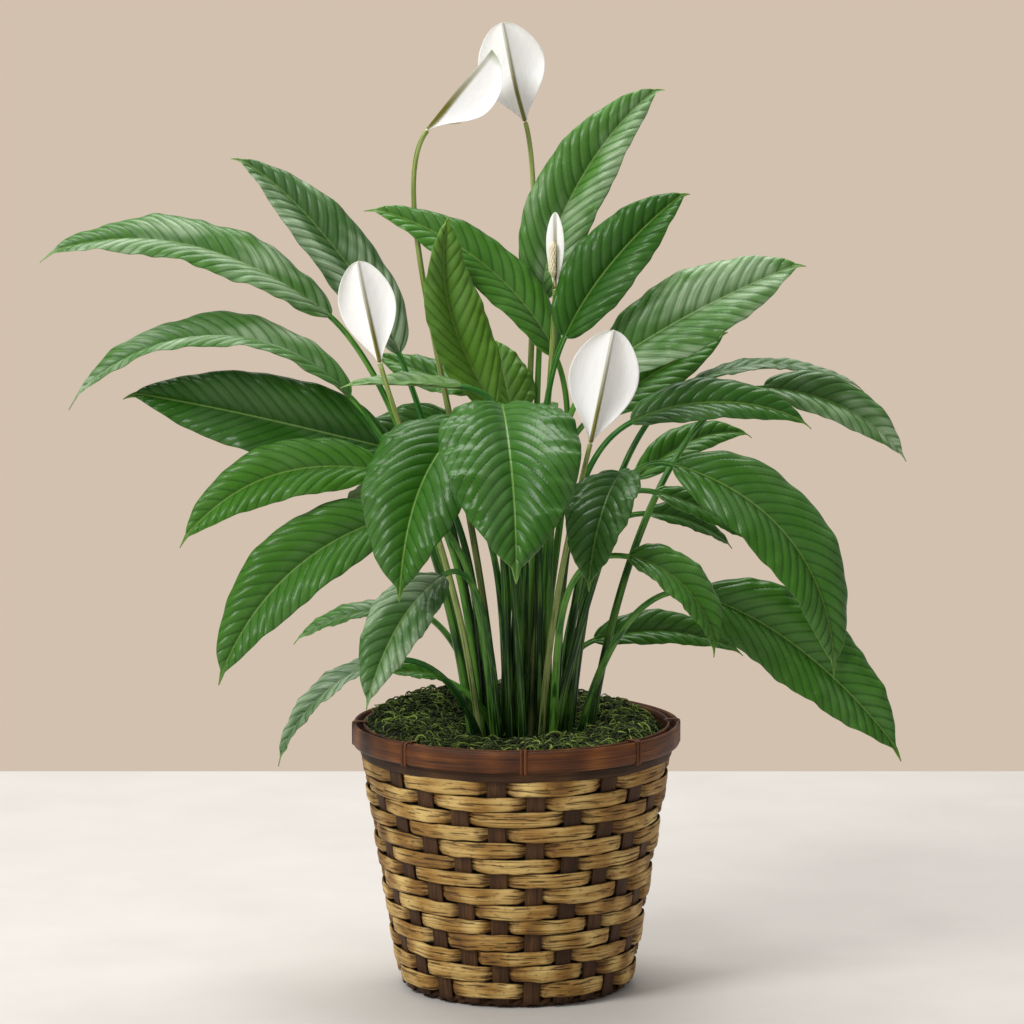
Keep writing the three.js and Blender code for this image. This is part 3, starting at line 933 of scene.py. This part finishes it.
def fibre_field(steps, across, cells_round, cells_across):
    """Smooth random values from 0 to 1 over a strip, long in its length and short across it."""
    grid = rng.random((cells_round, cells_across + 1))
    along = np.arange(steps) / steps * cells_round
    cell = along.astype(int)
    share = smooth_step(along - cell)[:, None]
    near, far = grid[cell % cells_round], grid[(cell + 1) % cells_round]
    lines = near * (1 - share) + far * share
    place = np.linspace(0, cells_across - 1e-6, across)
    column = place.astype(int)
    part = smooth_step(place - column)[None, :]
    return lines[:, column] * (1 - part) + lines[:, column + 1] * part


def make_cracks(v):
    """2 or 3 splits along a weaver's face, open here and there: 1 in the middle of a split."""
    crack = np.zeros((WEAVER_STEPS, WEAVER_FACE))
    for _ in range(2 + int(rng.integers(0, 2))):
        line = (rng.random() - 0.5) * 1.4 + ripple_round(WEAVER_STEPS, 20, 0.2)
        opened = np.clip(ripple_round(WEAVER_STEPS, 40, 2.2) + 0.35, 0, 1)
        crack = np.maximum(crack, np.exp(-((v - line[:, None]) / 0.085) ** 2) * opened[:, None])
    return crack


def between_edges(v, low_edge, high_edge):
    """Heights across a strip for v from -1 at its lower edge to 1 at its upper edge."""
    return np.where(v < 0, v * low_edge[:, None], v * high_edge[:, None])


def make_weaver(row, top, bottom):
    """One split cane round the basket, over two stakes and behind the third."""
    steps = WEAVER_STEPS
    v = np.linspace(-1, 1, WEAVER_FACE)[None, :]
    back_v = np.linspace(1, -1, WEAVER_BACK + 2)[None, 1:-1]
    height = (top + bottom) / 2 + ripple_round(steps, 16, 0.6)
    under, float_middle = under_amount(steps, row)
    radius = wall_radius(height) + OVER_STAKE - (OVER_STAKE + BEHIND_STAKE) * under
    radius = radius + FLOAT_ARCH * float_middle
    radius = radius + ripple_round(steps, 30, 0.3)
    half = (top - bottom) / 2 * (0.88 + 0.1 * float_middle - 0.14 * under)
    low_edge = half + ripple_round(steps, 44, 0.55)
    high_edge = half + ripple_round(steps, 44, 0.55)
    crack = make_cracks(v)
    # Painted shade along the top and bottom edges of the face, where the rows meet.
    edge_shade = 0.6 * np.clip((np.abs(v) - 0.82) / 0.18, 0, 1) ** 1.5
    fibres = fibre_field(steps, WEAVER_FACE, 40, 12)
    face = CANE_THICK * (1 - 0.75 * np.abs(v) ** 5) + 0.35 * (fibres - 0.5) - 1.0 * crack
    back = np.broadcast_to(-CANE_THICK * (1 - 0.6 * np.abs(back_v) ** 3), (steps, WEAVER_BACK))
    out = np.concatenate([face, back], axis=1)
    tall = np.concatenate([between_edges(v, low_edge, high_edge),
                           between_edges(back_v, low_edge, high_edge)], axis=1)
    facts = {
        "tone": ripple_round(steps, 26, 0.35) + 0.35,
        "dip": np.clip(1.1 - 2.6 * float_middle, 0, 1),
        "crack": np.concatenate([np.maximum(crack, edge_shade), np.zeros(back.shape)], axis=1),
    }
    name = f"weaver_{row + 1:02d}"
    piece = strip_ring(name, (radius, height), (out, tall), STRAW, facts, WALL_LEAN)
    declare(piece, "weave", *(["basket_wall"] if row == 0 else []))


def make_weavers():
    """Rows of weavers of unequal height, each one stake further on than the row above."""
    share = 1 + ROW_VARIATION * (rng.random(ROWS) - 0.5)
    drops = np.concatenate([[0], np.cumsum(share / share.sum())])
    edges = WEAVE_TOP - (WEAVE_TOP - WALL_BOTTOM) * drops
    for row in range(ROWS):
        make_weaver(row, edges[row], edges[row + 1])


def make_reed(name, points, along, across, material, spread):
    """A reed from rings of points, with the place along and across it of each point."""
    piece = make_mesh(name, points, ring_faces(*points.shape[:2]), [material])
    add_places(piece, "cane_place", np.stack([along, across, across * 0], axis=2))
    add_numbers(piece, "tone", np.full(across.size, 0.1 + spread * rng.random()))
    declare(piece, "reed")


def make_stakes():
    """Flat upright canes from the foot to behind the rim."""
    s = np.linspace(0, 1, STAKE_RINGS)[:, None]
    corner = circle(STAKE_AROUND)[None, :] + 0.3
    z = STAKE_BOTTOM + (STAKE_TOP - STAKE_BOTTOM) * s
    half = STAKE_WIDTH / 2 * (0.82 + 0.18 * s)
    side = np.sign(np.cos(corner)) * np.abs(np.cos(corner)) ** 0.6 * half
    out = np.sign(np.sin(corner)) * np.abs(np.sin(corner)) ** 0.7 * 0.9
    radius = np.maximum(wall_radius(z), FOOT_RADIUS - 1.5) + out
    all_z = np.broadcast_to(z, side.shape)
    for index in range(STAKES):
        angle = math.radians(FRONT + 360 / STAKES * (index + 0.5))
        across = np.array([-math.sin(angle), math.cos(angle)])
        outward = np.array([math.cos(angle), math.sin(angle)])
        flat = outward * radius[:, :, None] + across * side[:, :, None]
        points = np.concatenate([flat, all_z[:, :, None]], axis=2)
        make_reed(f"stake_{index + 1:02d}", points, all_z + index * 90, side, DARK_CANE, 0.3)


def make_rim():
    """An outer and an inner hoop, and a collar round the tops of the stakes."""
    middle, half = (RIM_BOTTOM + RIM_TOP) / 2, (RIM_TOP - RIM_BOTTOM) / 2 - 0.4
    hoops = (("rim_hoop_outer", "rim_band_outer", RIM_RADIUS - 1.9, 1.7, 0.0),
             ("rim_hoop_inner", "rim_band_inner", INNER_RADIUS - 1.8, 1.1, WALL_LEAN))
    for name, node, radius, half_thick, lean in hoops:
        path = (radius + ripple_round(HOOP_STEPS, 9, 0.3), middle + ripple_round(HOOP_STEPS, 8, 0.3))
        facts = {"tone": ripple_round(HOOP_STEPS, 30, 0.3) + 0.2}
        section = flat_section(HOOP_STEPS, half_thick, half)
        declare(strip_ring(name, path, section, RED_CANE, facts, lean), "rim", node)
    height = RIM_BOTTOM - 3.0
    radius = wall_radius(height) + 2.4 + ripple_round(HOOP_STEPS, 12, 0.4)
    path = (radius, np.full(HOOP_STEPS, height))
    facts = {"tone": ripple_round(HOOP_STEPS, 30, 0.2) + 0.2}
    section = flat_section(HOOP_STEPS, 1.2, 4.2)
    declare(strip_ring("rim_collar", path, section, DARK_CANE, facts, WALL_LEAN), "reed")


def lashing_path():
    """Radius and height along a tie: up the rim's outside, across its top and down its inside."""
    low, high = RIM_BOTTOM, RIM_TOP
    outer, inner = RIM_RADIUS + 0.05, INNER_RADIUS - 3.6
    middle, reach = (outer + inner) / 2, (outer - inner) / 2
    bend = np.linspace(0, math.pi, 16)[1:-1]
    path = [(outer - 3.0, low - 1.0), (outer - 0.6, low + 0.2)]
    path += [(outer, low + 1.0 + (high - low - 3.0) * k / 4) for k in range(5)]
    path += [(middle + reach * math.cos(x), high - 1.0 + 1.5 * math.sin(x) ** 0.5) for x in bend]
    path += [(inner, high - 2 - 4 * k) for k in range(3)]
    return np.array(path)


def make_lashings():
    """Pairs of flat cane ties over the rim."""
    path = lashing_path()
    slope = unit(np.gradient(path, axis=0))
    outward = np.stack([slope[:, 1], -slope[:, 0]], axis=1)
    corner = circle(LASHING_AROUND)
    r = path[:, :1] + outward[:, :1] * np.sin(corner)[None, :] * LASHING_HALF_THICK
    z = path[:, 1:] + outward[:, 1:] * np.sin(corner)[None, :] * LASHING_HALF_THICK
    side = np.broadcast_to(np.cos(corner)[None, :] * LASHING_HALF_WIDTH, r.shape)
    along = np.broadcast_to(np.arange(len(path))[:, None] * 2.0, r.shape)
    for index in range(LASHINGS):
        heading = math.radians(FRONT + 360 / LASHINGS * index + 2.4)
        for strand, turn in (("a", heading - 0.0125), ("b", heading + 0.0125)):
            points = np.stack([r * math.cos(turn) - side * math.sin(turn),
                               r * math.sin(turn) + side * math.cos(turn), z], axis=2)
            name = f"lashing_{index + 1}_{strand}"
            make_reed(name, points, along + index * 50, side, RED_CANE, 0.2)


def make_foot():
    """Two reeds twisted round each other, under the ends of the stakes."""
    steps = 960
    angle = circle(steps)
    for number in range(2):
        twist = FOOT_TWISTS * angle + number * math.pi
        path = (FOOT_RADIUS - 2.4 + 1.2 * np.cos(twist), FOOT_HIGH[2] / 2 + 1.5 * np.sin(twist))
        facts = {"tone": ripple_round(steps, 20, 0.2) + 0.3}
        section = flat_section(steps, 1.8, 1.9)
        piece = strip_ring(f"foot_reed_{number + 1}", path, section, DARK_CANE, facts)
        declare(piece, "reed", *(["foot_ring"] if number == 0 else []))


# ---- Moss ----

MOSS_OUTSIDE = INNER_RADIUS - 3.2
MOSS_FLOOR = SOIL_TOP + 20
LUMP_COUNT = 46
STRAND_BATCHES = 4
STRANDS_IN_BATCH = 900


def make_lump():
    """Heading and distance from the middle, size and width of one lump in the moss."""
    return rng.random() * FULL_TURN, 30 + 65 * rng.random(), rng.random(), 9 + 12 * rng.random()


LUMPS = [make_lump() for _ in range(LUMP_COUNT)]


def moss_height(x, y):
    """Height of the moss bed: low among the stems and at the rim, higher towards the back left."""
    r = np.hypot(x, y)
    level = 177 + 11 * np.clip((r - 30) / 40, 0, 1) + 8 * np.clip((y - 0.5 * x) / 90, -0.4, 1)
    level = level - 6 * np.clip((r - 90) / 12, 0, 1) ** 2
    for turn, away, size, wide in LUMPS:
        d2 = (x - away * math.cos(turn)) ** 2 + (y - away * math.sin(turn)) ** 2
        level = level + (size - 0.35) * 6.5 * np.exp(-d2 / (wide ** 2))
    return level


def make_moss_bed():
    rings, around = 64, 160
    s = np.linspace(0.0, 1, rings)[:, None]
    angle = circle(around)[None, :]
    r = 2 + (MOSS_OUTSIDE - 2) * s
    x, y = r * np.cos(angle), r * np.sin(angle)
    z = moss_height(x, y) - 1.5 + rng.normal(0, 0.8, x.shape)
    top = np.stack([x, y, z], axis=2)
    under = np.stack([x[::-1], y[::-1], np.full_like(x, MOSS_FLOOR)], axis=2)
    points = np.concatenate([under[-1:], under[:1], top[::-1]], axis=0)[::-1]
    faces = ring_faces(points.shape[0], around)
    piece = make_mesh("moss_bed", points, faces, [MOSS_BED])
    add_numbers(piece, "tone", np.clip(0.4 + rng.normal(0, 0.2, points.shape[:2]), 0, 1))
    declare(piece, "moss", "moss")


def strand_path():
    """A strand of moss that wanders over the bed, and its thickness."""
    turn = rng.random() * FULL_TURN
    away = math.sqrt(rng.random()) * (MOSS_OUTSIDE - 3)
    place = np.array([away * math.cos(turn), away * math.sin(turn)])
    heading = rng.random() * FULL_TURN
    curl = rng.normal(0, 0.5)
    steps = int(6 + rng.integers(0, 7))
    hop = 1.4 + rng.random()
    lift = 0.6 + 5.0 * rng.random() ** 2
    thick = 0.38 + 0.5 * rng.random()
    path = []
    for i in range(steps):
        heading += curl + rng.normal(0, 0.25)
        place = place + hop * np.array([math.cos(heading), math.sin(heading)])
        distance = math.hypot(*place)
        if distance > MOSS_OUTSIDE:
            place = place * MOSS_OUTSIDE / distance
        rise = lift * math.sin(math.pi * (i + 0.5) / steps)
        path.append([place[0], place[1], float(moss_height(*place)) + rise - 0.6])
    return np.array(path), thick


def strand_rings(path, thick):
    """Four points round each point of a strand, which is thinner towards its ends."""
    corner = circle(4)
    slope = np.gradient(path, axis=0)
    side = unit(np.cross(slope, [0, 0, 1.0]))
    over = unit(np.cross(side, slope))
    fine = thick * (1 - 0.7 * np.abs(np.linspace(-1, 1, len(path))))[:, None, None]
    return path[:, None, :] + fine * (side[:, None, :] * np.cos(corner)[None, :, None]
                                      + over[:, None, :] * np.sin(corner)[None, :, None])


def make_moss_strands():
    """Tangled strands over the bed, in a few pieces."""
    for batch in range(STRAND_BATCHES):
        points, faces, tones = [], [], []
        for _ in range(STRANDS_IN_BATCH):
            path, thick = strand_path()
            start = len(points)
            points.extend(strand_rings(path, thick).reshape(-1, 3).tolist())
            faces.extend(tuple(start + k for k in face) for face in ring_faces(len(path), 4))
            tones.extend([rng.random() ** 1.2] * (len(path) * 4))
        piece = make_mesh(f"moss_strands_{batch + 1}", points, faces, [MOSS_STRAND])
        add_numbers(piece, "tone", tones)
        declare(piece, "moss")


# ---- Stage: its floor in millimetres, the rest in metres ----

FLOOR_NEAR = -4500
FLOOR_FAR = 760
FLOOR_HALF_WIDTH = 4000
WALL_BEIGE = rgb(211, 193, 175)
SOFT_WHITE = (1.0, 0.98, 0.95, 1.0)
CAMERA_PLACE = (-0.003, -4.0, 0.95)
CAMERA_AIM = (-0.003, 0.0, 0.336)
CAMERA_LENS = 203.9
CAMERA_SENSOR = 36.0


def make_floor():
    n = Nodes("floor")
    cloud = n.noise(n.object_place(), 9.0, 5.0)
    colour = n.mix(cloud, rgb(196, 191, 185), rgb(214, 209, 203))
    material = n.finish(Base_Color=colour, Roughness=0.9)
    wide = FLOOR_HALF_WIDTH
    corners = [(-wide, FLOOR_NEAR, 0), (wide, FLOOR_NEAR, 0), (wide, FLOOR_FAR, 0), (-wide, FLOOR_FAR, 0)]
    make_mesh("floor", corners, [(0, 1, 2, 3)], [material])


def make_world():
    """Seen directly it is a plain beige; as light it is a soft neutral white."""
    world = bpy.data.worlds.new("studio")
    scene.world = world
    world.use_nodes = True
    tree = world.node_tree
    seen = tree.nodes.new("ShaderNodeBackground")
    light = tree.nodes["Background"]
    for node, colour, strength in ((seen, WALL_BEIGE, 1.0), (light, SOFT_WHITE, 0.42)):
        node.inputs["Color"].default_value = colour
        node.inputs["Strength"].default_value = strength
    which = tree.nodes.new("ShaderNodeLightPath")
    mix = tree.nodes.new("ShaderNodeMixShader")
    tree.links.new(which.outputs["Is Camera Ray"], mix.inputs[0])
    tree.links.new(light.outputs[0], mix.inputs[1])
    tree.links.new(seen.outputs[0], mix.inputs[2])
    tree.links.new(mix.outputs[0], tree.nodes["World Output"].inputs["Surface"])


def stand(name, data, place, aim):
    """A camera or a light at a place, turned to face another."""
    item = bpy.data.objects.new(name, data)
    item.location = place
    item.rotation_euler = (Vector(aim) - Vector(place)).to_track_quat("-Z", "Y").to_euler()
    scene.collection.objects.link(item)
    return item


def make_light(name, place, aim, size, watts):
    data = bpy.data.lights.new(name, "AREA")
    data.shape = "RECTANGLE"
    data.size, data.size_y = size
    data.energy = watts
    stand(name, data, place, aim)


def make_camera():
    data = bpy.data.cameras.new("camera")
    data.sensor_width = CAMERA_SENSOR
    data.lens = CAMERA_LENS
    data.clip_end = 50.0
    scene.camera = stand("camera", data, CAMERA_PLACE, CAMERA_AIM)


def make_stage():
    make_camera()
    make_floor()
    make_world()
    make_light("key_left", (-1.7, -1.6, 2.1), (0.0, 0.0, 0.3), (1.0, 1.0), 58.0)
    make_light("top_soft", (-0.2, 0.7, 2.5), (0.0, 0.0, 0.35), (1.8, 1.2), 52.0)
    scene.view_settings.view_transform = "Standard"
    scene.view_settings.look = "None"


def paint_hidden_nodes():
    """CAD pieces that keep their shape get a finish of their own."""
    for node, material in (("grow_pot", POT), ("potting_soil", SOIL), ("basket_base", BASE)):
        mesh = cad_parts[node].data
        mesh.materials.clear()
        mesh.materials.append(material)


leaf_rows = [read_row(values, PETIOLE_RADII) for values in LEAVES]
flower_rows = [read_row(values, STALK_RADII) for values in FLOWERS]
spread_starts(leaf_rows + flower_rows)
ease_stems_apart(leaf_rows + flower_rows)
for stem_row in leaf_rows + flower_rows:
    give_habits(stem_row)

make_stage()
for index, row in enumerate(leaf_rows):
    make_leaf(row, index)
for index, row in enumerate(flower_rows):
    make_flower(row, index, green_tip=0.8 if index == 0 else 0.0)
make_stakes()
make_weavers()
make_rim()
make_lashings()
make_foot()
make_moss_bed()
make_moss_strands()
paint_hidden_nodes()
